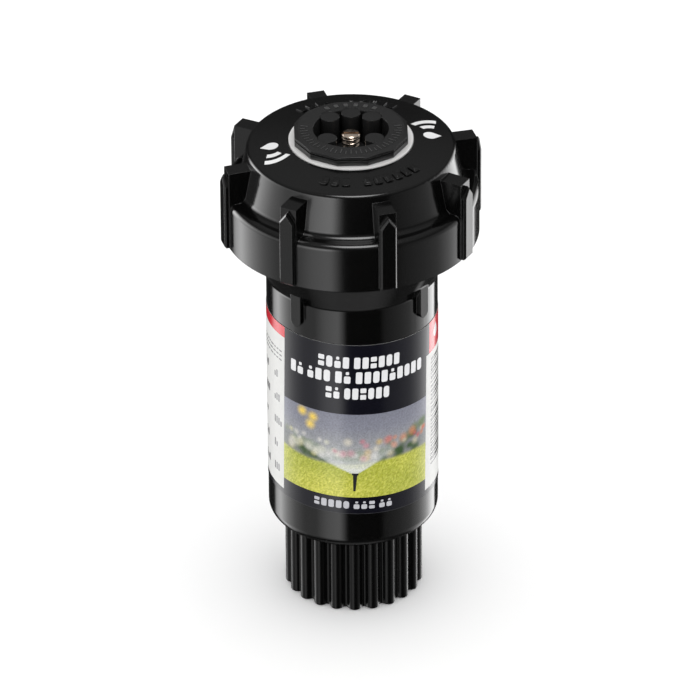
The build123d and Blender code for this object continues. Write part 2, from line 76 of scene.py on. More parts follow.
class Shader:
    """A material with a Principled shader and short calls for the nodes that feed it."""

    def __init__(self, name, **sockets):
        self.material = bpy.data.materials.new(name)
        self.material.use_nodes = True
        self.tree = self.material.node_tree
        self.surface = self.tree.nodes["Principled BSDF"]
        for socket, value in sockets.items():
            self.surface.inputs[socket.replace("_", " ")].default_value = value

    def node(self, kind, **inputs):
        made = self.tree.nodes.new("ShaderNode" + kind)
        for name, value in inputs.items():
            self.put(made, name.replace("_", " "), value)
        return made

    def put(self, node, name, value):
        """Set a socket, or link it if the value is another node's output."""
        socket = node.inputs[int(name)] if name.isdigit() else node.inputs[name]
        if isinstance(value, bpy.types.NodeSocket):
            self.tree.links.new(value, socket)
        else:
            socket.default_value = value

    def math(self, operation, a, b=0.0, c=0.0):
        made = self.tree.nodes.new("ShaderNodeMath")
        made.operation = operation
        for place, value in enumerate((a, b, c)):
            self.put(made, str(place), value)
        return made.outputs[0]

    def mix(self, share, a, b):
        made = self.tree.nodes.new("ShaderNodeMix")
        made.data_type = "RGBA"
        self.put(made, "0", share)
        self.put(made, "6", a)
        self.put(made, "7", b)
        return made.outputs[2]

    def ramp(self, value, stops):
        made = self.node("ValToRGB", Fac=value)
        elements = made.color_ramp.elements
        while len(elements) > 1:
            elements.remove(elements[-1])
        elements[0].position, elements[0].color = stops[0]
        for position, colour in stops[1:]:
            elements.new(position).color = colour
        return made.outputs[0]

    def noise(self, scale, detail=3.0, roughness=0.5, vector=None):
        made = self.node("TexNoise", Scale=scale, Detail=detail, Roughness=roughness)
        self.put(made, "Vector", vector or self.place())
        return made.outputs[0]

    def place(self):
        if not hasattr(self, "coordinates"):
            self.coordinates = self.node("TexCoord").outputs["Object"]
        return self.coordinates

    def height(self):
        return self.node("SeparateXYZ", Vector=self.place()).outputs[2]

    def relief(self, height, strength, distance, edge=0.0):
        """Fine bumps, over edges that look rounded by this radius."""
        bump = self.node("Bump", Strength=strength, Distance=distance, Height=height)
        if edge:
            bevel = self.node("Bevel", Radius=edge)
            bevel.samples = 6
            self.put(bump, "Normal", bevel.outputs[0])
        self.put(self.surface, "Normal", bump.outputs[0])

    def feed(self, socket, value):
        self.put(self.surface, socket, value)


def grey(value, warm=0.0):
    return (value * (1 + warm), value, value * (1 - warm), 1.0)


# ---------------------------------------------------------------- materials


def moulded_plastic(name, shade, gloss, grain, edge, wear=0.03, warm=0.0, inlet=False):
    """Injection-moulded plastic: uneven gloss, a very fine skin and slightly rounded edges."""
    shader = Shader(name, IOR=1.5)
    cloudy = shader.noise(90.0, 4.0)
    fine = shader.noise(2600.0, 2.0)
    streaks = shader.noise(420.0, 3.0, 0.6)
    shader.feed("Base Color", shader.mix(cloudy, grey(shade * 0.8, warm), grey(shade * 1.3, warm)))
    rough = shader.math("MULTIPLY_ADD", cloudy, wear, gloss - wear / 2)
    skin = shader.math("ADD", shader.math("MULTIPLY", streaks, 0.5), fine)
    if inlet:
        # the fluted socket is duller than the barrel, and pipe thread runs up inside it
        rougher = 0.16
        full_gloss = 0.5
        less_gloss = -0.3
        skin = shader.math("ADD", skin, inlet_thread(shader))
        dull = shader.math("LESS_THAN", shader.height(), SOCKET_TOP)
        rough = shader.math("MULTIPLY_ADD", dull, rougher, rough)
        shader.feed("Specular IOR Level", shader.math("MULTIPLY_ADD", dull, less_gloss, full_gloss))
    shader.feed("Roughness", rough)
    shader.relief(skin, grain, 0.02 * MM, edge)
    return shader.material


def inlet_thread(shader):
    """Height of the pipe thread's turns inside the inlet, and nothing anywhere else."""
    pitch = 1.814 * MM
    deep = 45.0
    parts = shader.node("SeparateXYZ", Vector=shader.place())
    x, y, z = parts.outputs
    turn = shader.math("DIVIDE", shader.math("ARCTAN2", y, x), 2 * math.pi)
    along = shader.math("FRACT", shader.math("SUBTRACT", shader.math("DIVIDE", z, pitch), turn))
    ridge = shader.math("ABSOLUTE", shader.math("SUBTRACT", along, 0.5))
    square = shader.math("ADD", shader.math("MULTIPLY", x, x), shader.math("MULTIPLY", y, y))
    radius = shader.math("SQRT", square)
    inside = shader.math("LESS_THAN", radius, inlet_r + 0.1 * MM)
    below = shader.math("LESS_THAN", z, inlet_length)
    in_bore = shader.math("MULTIPLY", inside, below)
    return shader.math("MULTIPLY", shader.math("MULTIPLY", ridge, deep), in_bore)


def turned_metal(name, tint, roughness):
    """Plated metal with fine rings from the tool, and dull spots."""
    shader = Shader(name, Metallic=1.0)
    spots = shader.noise(700.0, 4.0)
    rings = shader.node("TexWave", Scale=900.0, Distortion=1.5)
    rings.bands_direction = "Z"
    shader.put(rings, "Vector", shader.place())
    dull = tuple(part * 0.8 for part in tint[:3]) + (1.0,)
    shader.feed("Base Color", shader.mix(spots, dull, tint))
    shader.feed("Roughness", shader.math("MULTIPLY_ADD", spots, 0.12, roughness - 0.06))
    shader.relief(rings.outputs["Fac"], 0.2, 0.01 * MM)
    return shader.material


def film(name, colour, roughness=0.17, gloss=0.5):
    """Printed film: a fine orange-peel coat over slightly uneven ink."""
    shader = Shader(name, IOR=1.45, Specular_IOR_Level=gloss)
    ink = shader.noise(1500.0, 3.0)
    darker = tuple(part * 0.88 for part in colour[:3]) + (1.0,)
    shader.feed("Base Color", shader.mix(ink, darker, colour))
    shader.feed("Roughness", shader.math("MULTIPLY_ADD", ink, 0.05, roughness))
    shader.relief(shader.noise(600.0, 2.0), 0.08, 0.01 * MM)
    return shader.material


def photo_print(name):
    """Colours painted on the mesh, broken up by a fine print grain."""
    shader = Shader(name, IOR=1.45)
    painted = shader.node("Attribute")
    painted.attribute_name = "ink"
    grain = shader.noise(2600.0, 2.0, 0.7)
    dots = shader.ramp(grain, [(0.3, grey(0.62)), (0.5, grey(0.95)), (0.72, grey(1.3))])
    dot_strength = 0.55
    blotted = shader.node("Mix")
    blotted.data_type = "RGBA"
    blotted.blend_type = "MULTIPLY"
    for socket, value in (("0", dot_strength), ("6", painted.outputs["Color"]), ("7", dots)):
        shader.put(blotted, socket, value)
    shader.feed("Base Color", blotted.outputs[2])
    shader.feed("Roughness", shader.math("MULTIPLY_ADD", grain, 0.05, 0.16))
    shader.relief(grain, 0.06, 0.01 * MM)
    return shader.material


# name, shade, roughness, strength of the fine skin, radius that edges look rounded by
black_abs = moulded_plastic("black_abs", 0.0014, 0.11, 0.10, 0.18 * MM, inlet=True)
cap_abs = moulded_plastic("cap_abs", 0.0016, 0.15, 0.16, 0.2 * MM)
nozzle_plastic = moulded_plastic("nozzle_plastic", 0.013, 0.2, 0.5, 0.12 * MM)
post_plastic = moulded_plastic("post_plastic", 0.011, 0.24, 0.6, 0.16 * MM)
# the disc's own plastic made lighter: a painted highlight for the lit edges of the moulded ticks and blocks
tick_highlight_plastic = moulded_plastic("tick_highlight_plastic", 0.05, 0.3, 0.3, 0.03 * MM)
riser_plastic = moulded_plastic("riser_plastic", 0.006, 0.22, 0.2, 0.1 * MM)
acetal = moulded_plastic("acetal", 0.23, 0.42, 0.3, 0.08 * MM)
white_seal = moulded_plastic("white_seal", 0.68, 0.42, 0.2, 0.08 * MM, warm=0.01)
rubber = moulded_plastic("rubber", 0.02, 0.6, 0.5, 0.05 * MM)
filter_plastic = moulded_plastic("filter_plastic", 0.45, 0.45, 0.3, 0.08 * MM)
white_paint = moulded_plastic("white_paint", 0.7, 0.35, 0.25, 0.02 * MM)
nickel = turned_metal("nickel", (0.86, 0.72, 0.6, 1.0), 0.2)
spring_wire = turned_metal("spring_wire", (0.62, 0.62, 0.6, 1.0), 0.28)

finishes = {
    "case": black_abs,
    "cap": cap_abs,
    "riser": riser_plastic,
    "riser_foot": riser_plastic,
    "ratchet_ring": acetal,
    "spring_seat": acetal,
    "seal_insert": acetal,
    "wiper_seal": white_seal,
    "cap_gasket": rubber,
    "nozzle_gasket": rubber,
    "nozzle_base": nozzle_plastic,
    "nozzle_core": post_plastic,
    "nozzle_deflector": nozzle_plastic,
    "filter_frame": filter_plastic,
    "filter_plug": filter_plastic,
    "filter_mesh": filter_plastic,
    "label": white_paint,
    "adjusting_screw": nickel,
    "retract_spring": spring_wire,
}
for node_name, material in finishes.items():
    mesh = nodes[node_name].data
    mesh.materials.clear()
    mesh.materials.append(material)

# ---------------------------------------------------------------- mesh helpers


def piece(name, mesh, body, materials, replaced=(), smooth=False):
    """Put a mesh in the scene as a piece that rides on a body."""
    for material in materials:
        mesh.materials.append(material)
    for face in mesh.polygons:
        face.use_smooth = smooth
    made = bpy.data.objects.new(name, mesh)
    bpy.context.scene.collection.objects.link(made)
    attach(made, body)
    for node_name in replaced:
        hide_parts(node_name)
    return made


def grid_mesh(name, rows, closed_across=False):
    """Faces between rows of points. Closed across joins each row's last point to its first."""
    width = len(rows[0])
    faces = []
    for row in range(len(rows) - 1):
        for column in range(width if closed_across else width - 1):
            following = (column + 1) % width
            here = row * width
            above = here + width
            faces.append((here + column, here + following, above + following, above + column))
    mesh = bpy.data.meshes.new(name)
    mesh.from_pydata([point for row in rows for point in row], [], faces)
    return mesh


def tube_rows(path, tangents, radius, sides):
    """Rings of points round a path, for grid_mesh."""
    rows = []
    for centre, tangent in zip(path, tangents):
        across = tangent.cross(Vector((0, 0, 1))).normalized()
        upright = tangent.cross(across).normalized()
        ring = []
        for side in range(sides):
            turn = 2 * math.pi * side / sides
            ring.append(centre + (across * math.cos(turn) + upright * math.sin(turn)) * radius)
        rows.append(ring)
    return rows


def around(radius, turn, height):
    """A point at this distance from the axis, turned this far from the front towards +X."""
    return Vector((radius * math.sin(turn), -radius * math.cos(turn), height))


def merged(name, meshes):
    """One mesh out of several."""
    joined = bmesh.new()
    for mesh in meshes:
        joined.from_mesh(mesh)
        bpy.data.meshes.remove(mesh)
    made = bpy.data.meshes.new(name)
    joined.to_mesh(made)
    joined.free()
    return made


# ---------------------------------------------------------------- label

LABEL_R = label_high.x
LABEL_SHEET = 0.06 * MM
LABEL_BACK = LABEL_R - 0.12 * MM
LABEL_LAYER = 0.01 * MM
LABEL_TILT = math.tan(math.radians(2.2))
LABEL_MIDDLE = (label_low.z + label_high.z) / 2
EDGE_LINE = 0.12 * MM
LABEL_TOP = label_high.z - 0.1 * MM
LABEL_BOTTOM = label_low.z + 1.1 * MM
LABEL_REACH = math.radians(167.0)
PANEL_TURN = math.radians(2.6)
PANEL_HALF = 18.0 * MM
PICTURE_TOP = 52.2 * MM
PICTURE_BOTTOM = 31.3 * MM
LAWN_TOP = 39.6 * MM
FACET = 0.6 * MM

INKS = {
    "navy": (0.0045, 0.0045, 0.009, 1.0),
    "paper": (0.72, 0.72, 0.705, 1.0),
    "white": (0.76, 0.76, 0.77, 1.0),
    "pale": (0.5, 0.5, 0.53, 1.0),
    "red": (0.62, 0.02, 0.035, 1.0),
    "soot": (0.02, 0.02, 0.022, 1.0),
    "stone": (0.14, 0.14, 0.15, 1.0),
    "edge": (0.032, 0.032, 0.036, 1.0),
}


def on_label(across, height, layer):
    """The place of a print: distance round from the front panel's middle, height and layer.
    The sticker was put on a little crooked, so its rows sink and its columns lean towards +X."""
    turn = PANEL_TURN + across / LABEL_R
    turn += LABEL_TILT * (height - LABEL_MIDDLE) / LABEL_R * math.cos(turn)
    radius = LABEL_BACK + LABEL_SHEET + layer * LABEL_LAYER
    point = around(radius, turn, height)
    point.z -= LABEL_TILT * point.x
    return point


class Print:
    """Flat shapes that are laid on the sticker, each with an ink and a layer."""

    def __init__(self):
        self.flat = bmesh.new()
        self.inks = list(INKS)

    def shape(self, outline, ink, layer):
        corners = [self.flat.verts.new((x, y, layer)) for x, y in outline]
        self.flat.faces.new(corners).material_index = self.inks.index(ink)

    def block(self, left, bottom, right, top, ink, layer):
        self.shape([(left, bottom), (right, bottom), (right, top), (left, top)], ink, layer)

    def rounded(self, left, bottom, right, top, ink, layer, corner=0.3 * MM):
        outline = []
        for x, y, start in ((right, top, 0), (left, top, 90), (left, bottom, 180), (right, bottom, 270)):
            for step in (0, 45, 90):
                turn = math.radians(start + step)
                inset_x = corner if x == left else -corner
                inset_y = corner if y == bottom else -corner
                outline.append((x + inset_x + corner * math.cos(turn), y + inset_y + corner * math.sin(turn)))
        self.shape(outline, ink, layer)

    def cut(self, direction, start, end, pitch):
        """Cut every shape across, again and again."""
        along = Vector(direction)
        for number in range(int((end - start) / pitch) + 1):
            everything = self.flat.verts[:] + self.flat.edges[:] + self.flat.faces[:]
            place = along * (start + number * pitch)
            bmesh.ops.bisect_plane(self.flat, geom=everything, plane_co=place, plane_no=along, dist=1e-7)

    def wrap(self, name):
        """Cut the shapes into narrow strips and bend them round the barrel."""
        self.cut((1, 0, 0), -math.pi * LABEL_R, math.pi * LABEL_R, FACET)
        self.cut((0, 1, 0), LABEL_BOTTOM, LABEL_TOP, 8 * FACET)
        for vertex in self.flat.verts:
            vertex.co = on_label(vertex.co.x, vertex.co.y, vertex.co.z)
        bmesh.ops.recalc_face_normals(self.flat, faces=self.flat.faces)
        mesh = bpy.data.meshes.new(name)
        self.flat.to_mesh(mesh)
        self.flat.free()
        return mesh


def front_panel(prints):
    prints.block(-PANEL_HALF, LABEL_BOTTOM, PANEL_HALF, LABEL_TOP, "navy", 1)
    # thin pale lines where the film ends
    for height in (LABEL_BOTTOM, LABEL_TOP - EDGE_LINE):
        prints.block(-PANEL_HALF, height, PANEL_HALF, height + EDGE_LINE, "edge", 2)
    # three rows of word-like blocks: middle height, letter height, left end, right end, letters in each word
    rows = (
        (65.1, 2.8, -9.0, 9.2, (4, 6)),
        (61.4, 2.9, -15.9, 15.9, (2, 3, 2, 9)),
        (57.4, 2.8, -7.1, 6.9, (2, 6)),
    )
    for middle, tall, left, right, words in rows:
        word_row(prints, middle * MM, tall * MM, left * MM, right * MM, words, "white")
    word_row(prints, 29.35 * MM, 1.9 * MM, -9.0 * MM, 8.4 * MM, (5, 3, 2), "pale")


def word_row(prints, middle, tall, left, right, words, ink):
    """Blocks as wide as letters, in groups as long as words. They spell nothing."""
    # the gap between letters and the space between words, in letter widths
    gap = 0.34
    space = 0.8
    units = sum(words) + gap * (sum(words) - len(words)) + space * (len(words) - 1)
    wide = (right - left) / units
    x = left
    for count in words:
        for _ in range(count):
            low = middle - tall / 2
            style = chance.choice(("whole", "tall", "split", "low"))
            if style == "split":
                prints.rounded(x, low, x + wide, low + tall * 0.42, ink, 2, 0.2 * MM)
                prints.rounded(x, low + tall * 0.58, x + wide, low + tall, ink, 2, 0.2 * MM)
            elif style == "low":
                prints.rounded(x, low, x + wide, low + tall * 0.62, ink, 2, 0.3 * MM)
                dot_left = x + wide * 0.25
                dot_right = x + wide * 0.75
                prints.rounded(dot_left, low + tall * 0.74, dot_right, low + tall, ink, 2, 0.18 * MM)
            else:
                corner = 0.3 * MM if style == "whole" else 0.5 * MM
                prints.rounded(x, low, x + wide, low + tall, ink, 2, corner)
            x += wide * (1 + gap)
        x += wide * (space - gap)


def side_panels(prints):
    end = LABEL_REACH * LABEL_R
    band = LABEL_TOP - 2.7 * MM
    foot = LABEL_BOTTOM + 1.3 * MM
    mark_rows = 5
    mark_columns = 5
    text_lines = 9
    # left: white with a red band and columns of small marks
    prints.block(-end, LABEL_BOTTOM, -PANEL_HALF, foot, "navy", 1)
    prints.block(-end, foot, -PANEL_HALF, band, "paper", 1)
    prints.block(-end, band, -PANEL_HALF, LABEL_TOP, "red", 1)
    for row in range(3):
        y = band - (4.2 + 1.1 * row) * MM
        x = -PANEL_HALF - 1.0 * MM
        while x > -end + 8 * MM:
            wide = chance.uniform(0.5, 1.6) * MM
            prints.block(x - wide, y, x, y + 0.35 * MM, "stone", 2)
            x -= wide + 0.35 * MM
    for row in range(mark_rows):
        y = band - (11.4 + 5.9 * row) * MM
        for column in range(mark_columns):
            x = -PANEL_HALF - (4.0 + 6.0 * column) * MM
            for _ in range(2 + (row + column) % 3):
                tall = chance.choice((1.3, 1.9, 1.9)) * MM
                prints.rounded(x, y, x + 0.55 * MM, y + tall, "stone", 2, 0.2 * MM)
                x += 0.85 * MM
    # right: white with a deep red band and a stack of bars
    red_foot = LABEL_TOP - 7.6 * MM
    prints.block(PANEL_HALF, LABEL_BOTTOM, end, foot, "navy", 1)
    prints.block(PANEL_HALF, foot, end, red_foot, "paper", 1)
    red_edge = PANEL_HALF + 1.3 * MM
    prints.block(PANEL_HALF, red_foot, red_edge, LABEL_TOP, "navy", 1)
    prints.block(red_edge, red_foot, end, LABEL_TOP, "red", 1)
    drop_mark(prints, red_edge + 3.6 * MM, LABEL_TOP - 3.6 * MM, 1.6 * MM)
    bars_left = red_edge + 1.0 * MM
    bars_right = red_edge + 12.0 * MM
    y = red_foot - 1.6 * MM
    while y > foot + 5.5 * MM:
        thick = chance.choice((0.35, 0.35, 0.6, 0.85)) * MM
        prints.block(bars_left, y - thick, bars_right, y, "soot", 2)
        y -= thick + chance.choice((0.4, 0.4, 0.6)) * MM
    text_left = PANEL_HALF + 18 * MM
    for row in range(text_lines):
        y = red_foot - (3.0 + 2.6 * row) * MM
        wide = chance.uniform(12.0, 17.0) * MM
        prints.block(text_left, y - 0.5 * MM, text_left + wide, y, "stone", 2)


def drop_mark(prints, x, y, size):
    """A plain water drop."""
    outline = [(x, y + 1.5 * size)]
    for step in range(11):
        turn = math.radians(30 - 24 * step)
        outline.append((x + size * 0.8 * math.cos(turn), y + size * 0.8 * math.sin(turn)))
    prints.shape(outline, "white", 2)


def small_riser(prints):
    """The small riser in the picture. Its spray is painted with the picture."""
    foot = 32.9 * MM
    shoulder = 37.2 * MM
    stem = [(-0.3 * MM, foot), (0.2 * MM, foot), (0.45 * MM, shoulder), (-0.5 * MM, shoulder)]
    prints.shape(stem, "soot", 3)
    prints.block(-0.75 * MM, 36.9 * MM, 0.7 * MM, 37.4 * MM, "soot", 3)


def clamp(value):
    return min(1.0, max(0.0, value))


def soft(distance, edge):
    """1 in the middle of a blurred spot, 0 beyond its edge."""
    inside = max(0.0, 1.0 - distance / edge)
    return inside * inside * (3 - 2 * inside)


def blend_ink(under, over, share):
    return tuple(a + (b - a) * share for a, b in zip(under, over))


def flower_spots():
    """Blurred flowers: three yellow ones high at the left, and a mixed bed above the lawn."""
    yellow = (0.8, 0.56, 0.06)
    dark_leaf = (0.035, 0.075, 0.02)
    leaves = ((0.04, 0.09, 0.02), (0.08, 0.13, 0.035), (0.12, 0.15, 0.07))
    spots = []
    for x, y in ((-12.6, 50.9), (-9.9, 50.2), (-10.5, 48.2)):
        spots.append((x * MM, y * MM, 1.75 * MM, yellow, 1.0))
    for _ in range(64):
        x = chance.uniform(-17.5, 17.5)
        bed = 41.4 + 0.012 * x * x + (1.6 if x > 6 else 0.0)
        leaf = chance.choice(leaves)
        y = chance.uniform(bed - 1.2, bed + 1.0)
        spots.append((x * MM, y * MM, chance.uniform(1.0, 2.0) * MM, leaf, 0.85))
    for _ in range(26):
        # darker leaves at both sides of the spray, just above the lawn
        x = chance.choice((-1, 1)) * chance.uniform(6.5, 14.5)
        y = chance.uniform(40.6, 42.6)
        spots.append((x * MM, y * MM, chance.uniform(1.0, 1.9) * MM, dark_leaf, 0.9))
    petals = {
        "left": ((0.5, 0.49, 0.38), (0.45, 0.42, 0.2), (0.52, 0.5, 0.47)),
        "middle": ((0.55, 0.5, 0.4), (0.5, 0.33, 0.07), (0.42, 0.1, 0.14), (0.55, 0.53, 0.5)),
        "right": ((0.42, 0.06, 0.02), (0.48, 0.15, 0.05), (0.42, 0.09, 0.1), (0.46, 0.42, 0.3)),
    }
    for _ in range(54):
        x = chance.uniform(-17.3, 17.3)
        side = "left" if x < -5 else "middle" if x < 6 else "right"
        y = chance.uniform(41.0, 45.4) + max(0.0, x - 4) * 0.16
        spots.append((x * MM, y * MM, chance.uniform(0.8, 1.7) * MM, chance.choice(petals[side]), 0.9))
    return spots


def picture_colour(x, y, spots):
    """What the picture shows at this place: a hazy backdrop, a flower bed, a lawn and a fan of spray."""
    low_haze = (0.2, 0.21, 0.19)
    high_haze = (0.165, 0.17, 0.215)
    green_grass = (0.42, 0.42, 0.04)
    yellow_grass = (0.78, 0.74, 0.15)
    shaded_grass = (0.17, 0.24, 0.02)
    spray = (0.7, 0.71, 0.73)
    height = (y - LAWN_TOP) / (PICTURE_TOP - LAWN_TOP)
    colour = blend_ink(low_haze, high_haze, clamp(height * 1.4))
    for spot_x, spot_y, size, ink, strength in spots:
        distance = math.hypot(x - spot_x, y - spot_y)
        if distance < size:
            colour = blend_ink(colour, ink, soft(distance, size) * strength)
    # the lawn's top edge rolls gently, and its far side is greener
    hill = LAWN_TOP + 0.5 * MM * math.sin(x / (6 * MM)) + 0.8 * MM * abs(x) / PANEL_HALF
    hill_blur = 0.8 * MM
    lawn = blend_ink(green_grass, yellow_grass, chance.random())
    shade = 0.5 + 0.5 * math.sin(x / (5.5 * MM) - 0.5) * math.cos(y / (2.6 * MM))
    far = clamp((y - PICTURE_BOTTOM) / (LAWN_TOP - PICTURE_BOTTOM))
    greener = min(0.85, 0.2 + 0.35 * shade + 0.25 * far)
    lawn = blend_ink(lawn, shaded_grass, greener * (0.6 + 0.4 * chance.random()))
    colour = blend_ink(colour, lawn, clamp((hill - y) / hill_blur + 0.5))
    # spray rises from the riser's top and widens to both sides
    above = y - 37.0 * MM
    if above > 0:
        edge = above * (2.5 if x < 0 else 1.7)
        fade_height = 4.6 * MM
        fade = min(1.0, 1.25 * math.exp(-above / fade_height))
        inside = soft(max(0.0, abs(x) - edge * 0.75), max(edge * 0.3, 0.2 * MM))
        streak = 0.93 + 0.07 * math.sin(31 * math.atan2(x, above + 0.1 * MM))
        colour = blend_ink(colour, spray, inside * fade * streak * 0.9)
    return colour


def make_picture():
    """A curved sheet of small cells, each painted with its own colour."""
    columns = 120
    lines = 70
    layer = 2
    spots = flower_spots()
    rows = []
    inks = []
    for line in range(lines + 1):
        y = PICTURE_BOTTOM + (PICTURE_TOP - PICTURE_BOTTOM) * line / lines
        places = [PANEL_HALF * (2 * column / columns - 1) for column in range(columns + 1)]
        rows.append([on_label(x, y, layer) for x in places])
        inks += [picture_colour(x, y, spots) for x in places]
    mesh = grid_mesh("label_picture", rows)
    painted = mesh.color_attributes.new("ink", "FLOAT_COLOR", "POINT")
    for place, ink in zip(painted.data, inks):
        place.color = (*ink, 1.0)
    return mesh


def make_label():
    prints = Print()
    front_panel(prints)
    side_panels(prints)
    small_riser(prints)
    inks = []
    for ink, colour in INKS.items():
        # the white paper is duller than the inks
        made = film("ink_paper", colour, 0.35, 0.12) if ink == "paper" else film("ink_" + ink, colour)
        inks.append(made)
    piece("label_prints", prints.wrap("label_prints"), "case_body", inks, smooth=True)
    piece("label_picture", make_picture(), "case_body", [photo_print("ink_picture")], smooth=True)
    # the film itself, a closed strip with a small gap at the back
    steps = 240
    levels = 10
    heights = [LABEL_BOTTOM + (LABEL_TOP - LABEL_BOTTOM) * level / levels for level in range(levels + 1)]
    outside = [(LABEL_SHEET, height) for height in heights]
    inside = [(0.0, height) for height in reversed(heights)]
    section = outside + inside
    rows = []
    for step in range(steps + 1):
        across = LABEL_REACH * LABEL_R * (2 * step / steps - 1)
        ring = []
        for depth, height in section:
            layer = (depth - LABEL_SHEET) / LABEL_LAYER
            ring.append(on_label(across, height, layer))
        rows.append(ring)
    sheet = grid_mesh("label_sheet", rows, closed_across=True)
    piece("label_sheet", sheet, "case_body", [film("film_edge", INKS["paper"])], ["label"])


# ---------------------------------------------------------------- adjusting screw


def make_screw():
    """A rolled thread with a slotted, slightly domed end and a blunt point."""
    crest_r = screw_high.x
    root_r = crest_r - 0.42 * MM
    pitch = 0.95 * MM
    point_length = 2.2 * MM
    point_r = 0.7 * MM
    head_plain = 0.45 * MM
    slot_half = 0.4 * MM
    slot_depth = 1.0 * MM
    turns = 48
    rows = []
    step = 0.06 * MM
    count = int((screw_high.z - screw_low.z) / step)
    for line in range(count + 1):
        height = screw_low.z + (screw_high.z - screw_low.z) * line / count
        from_point = height - screw_low.z
        from_top = screw_high.z - height
        limit = point_r + (crest_r - point_r) * min(1.0, from_point / point_length)
        limit = min(limit, crest_r - max(0.0, 0.25 * MM - from_top))
        ring = []
        for part in range(turns):
            turn = 2 * math.pi * part / turns
            wave = 0.5 + 0.5 * math.cos(2 * math.pi * (height / pitch - part / turns))
            thread = root_r + (crest_r - root_r) * min(1.0, 1.35 * wave)
            if from_top < head_plain:
                thread = crest_r
            ring.append(around(min(limit, thread), turn, height))
        rows.append(ring)
    mesh = grid_mesh("adjusting_thread", rows, closed_across=True)
    ends = bmesh.new()
    ends.from_mesh(mesh)
    ends.verts.ensure_lookup_table()
    ends.faces.new(ends.verts[:turns][::-1])
    ends.faces.new(ends.verts[-turns:])
    bmesh.ops.recalc_face_normals(ends, faces=ends.faces)
    ends.to_mesh(mesh)
    ends.free()
    replaced = ["adjusting_screw"]
    made = piece("screw_thread", mesh, "screw_body", [nickel], replaced, smooth=True)
    # the screwdriver slot
    slot_floor = screw_high.z - slot_depth
    cutter_mesh = bpy.data.meshes.new("slot_cutter")
    box = bmesh.new()
    bmesh.ops.create_cube(box, size=1.0)
    for vertex in box.verts:
        x, y, z = vertex.co
        vertex.co = (x * 3 * crest_r, y * 2 * slot_half, slot_floor + (z + 0.5) * 2 * MM)
    box.to_mesh(cutter_mesh)
    box.free()
    cutter = bpy.data.objects.new("slot_cutter", cutter_mesh)
    bpy.context.scene.collection.objects.link(cutter)
    cut = made.modifiers.new("slot", "BOOLEAN")
    cut.object = cutter
    cut.operation = "DIFFERENCE"
    bpy.context.view_layer.update()
    slotted = bpy.data.meshes.new_from_object(made.evaluated_get(bpy.context.evaluated_depsgraph_get()))
    made.modifiers.clear()
    made.data = slotted
    bpy.data.objects.remove(cutter)
    slotted.set_sharp_from_angle(angle=math.radians(50))


# ---------------------------------------------------------------- retract spring


def make_spring():
    """Round wire whose first and last turns lie flat."""
    wire_r = 0.55 * MM
    mean_r = spring_high.x - wire_r
    low = spring_low.z + wire_r
    high = spring_high.z - wire_r
    flat_turns = 1.0
    open_turns = 11.0
    end_lift = 2 * wire_r
    steps_per_turn = 48
    total = open_turns + 2 * flat_turns
    count = int(total * steps_per_turn)
    path = []
    for step in range(count + 1):
        turns = step / steps_per_turn
        if turns < flat_turns:
            height = low + end_lift * turns / flat_turns
        elif turns > total - flat_turns:
            height = high - end_lift * (total - turns) / flat_turns
        else:
            share = (turns - flat_turns) / open_turns
            height = low + end_lift + (high - low - 2 * end_lift) * share
        path.append(around(mean_r, 2 * math.pi * turns, height))
    tangents = []
    for step in range(count + 1):
        tangents.append((path[min(step + 1, count)] - path[max(step - 1, 0)]).normalized())
    mesh = grid_mesh("spring_coil", tube_rows(path, tangents, wire_r, 12), closed_across=True)
    closed = bmesh.new()
    closed.from_mesh(mesh)
    bmesh.ops.holes_fill(closed, edges=[edge for edge in closed.edges if edge.is_boundary])
    bmesh.ops.recalc_face_normals(closed, faces=closed.faces)
    closed.to_mesh(mesh)
    closed.free()
    replaced = ["retract_spring"]
    coil = piece("spring_coil", mesh, "seal_body", [spring_wire], replaced, smooth=True)
    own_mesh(coil)


# ---------------------------------------------------------------- filter screen


def square_strand(name, path, out_at, side_at, radius):
    """A thin four-sided strand along a path. out_at and side_at give its two cross directions at a point."""
    rows = []
    for centre in path:
        out = out_at(centre) * radius
        side = side_at(centre) * radius
        rows.append([centre + out, centre + side, centre - out, centre - side])
    return grid_mesh(name, rows, closed_across=True)


def outward(point):
    return Vector((point.x, point.y, 0.0)).normalized()


def sideways(point):
    out = outward(point)
    return Vector((-out.y, out.x, 0.0))


def upward(_):
    return Vector((0.0, 0.0, 1.0))


def make_filter_screen():
    """A woven sleeve: upright strands and hoops that pass in front of and behind each other."""
    strand_r = 0.06 * MM
    sleeve_r = mesh_high.x - 2.2 * strand_r
    uprights = 60
    pitch = 0.8 * MM
    low = mesh_low.z + strand_r
    high = mesh_high.z - strand_r
    hoops = int((high - low) / pitch)
    strands = []
    for number in range(uprights):
        turn = 2 * math.pi * number / uprights
        path = []
        for step in range(2 * hoops + 1):
            height = low + (high - low) * step / (2 * hoops)
            sway = strand_r * math.cos(math.pi * (step / 2 + number))
            path.append(around(sleeve_r + sway, turn, height))
        strands.append(square_strand("upright", path, outward, sideways, strand_r))
    for hoop in range(hoops + 1):
        height = low + (high - low) * hoop / hoops
        path = []
        for step in range(2 * uprights + 1):
            turn = math.pi * step / uprights
            sway = -strand_r * math.cos(math.pi * (step / 2 + hoop))
            path.append(around(sleeve_r + sway, turn, height))
        strands.append(square_strand("hoop", path, outward, upward, strand_r))
    mesh = merged("filter_screen", strands)
    replaced = ["filter_mesh"]
    piece("filter_screen", mesh, "riser_body", [filter_plastic], replaced, smooth=True)


# ---------------------------------------------------------------- marks moulded or painted on the top

CAP_HOLE_R = 13.5 * MM
CAP_EDGE_R = 22.3 * MM
CAP_DOME = 1.3 * MM
PAINT_LIFT = 0.06 * MM
BLOCK_LIFT = 0.3 * MM
DOT_LIFT = 0.42 * MM
TICK_LIFT = 0.1 * MM


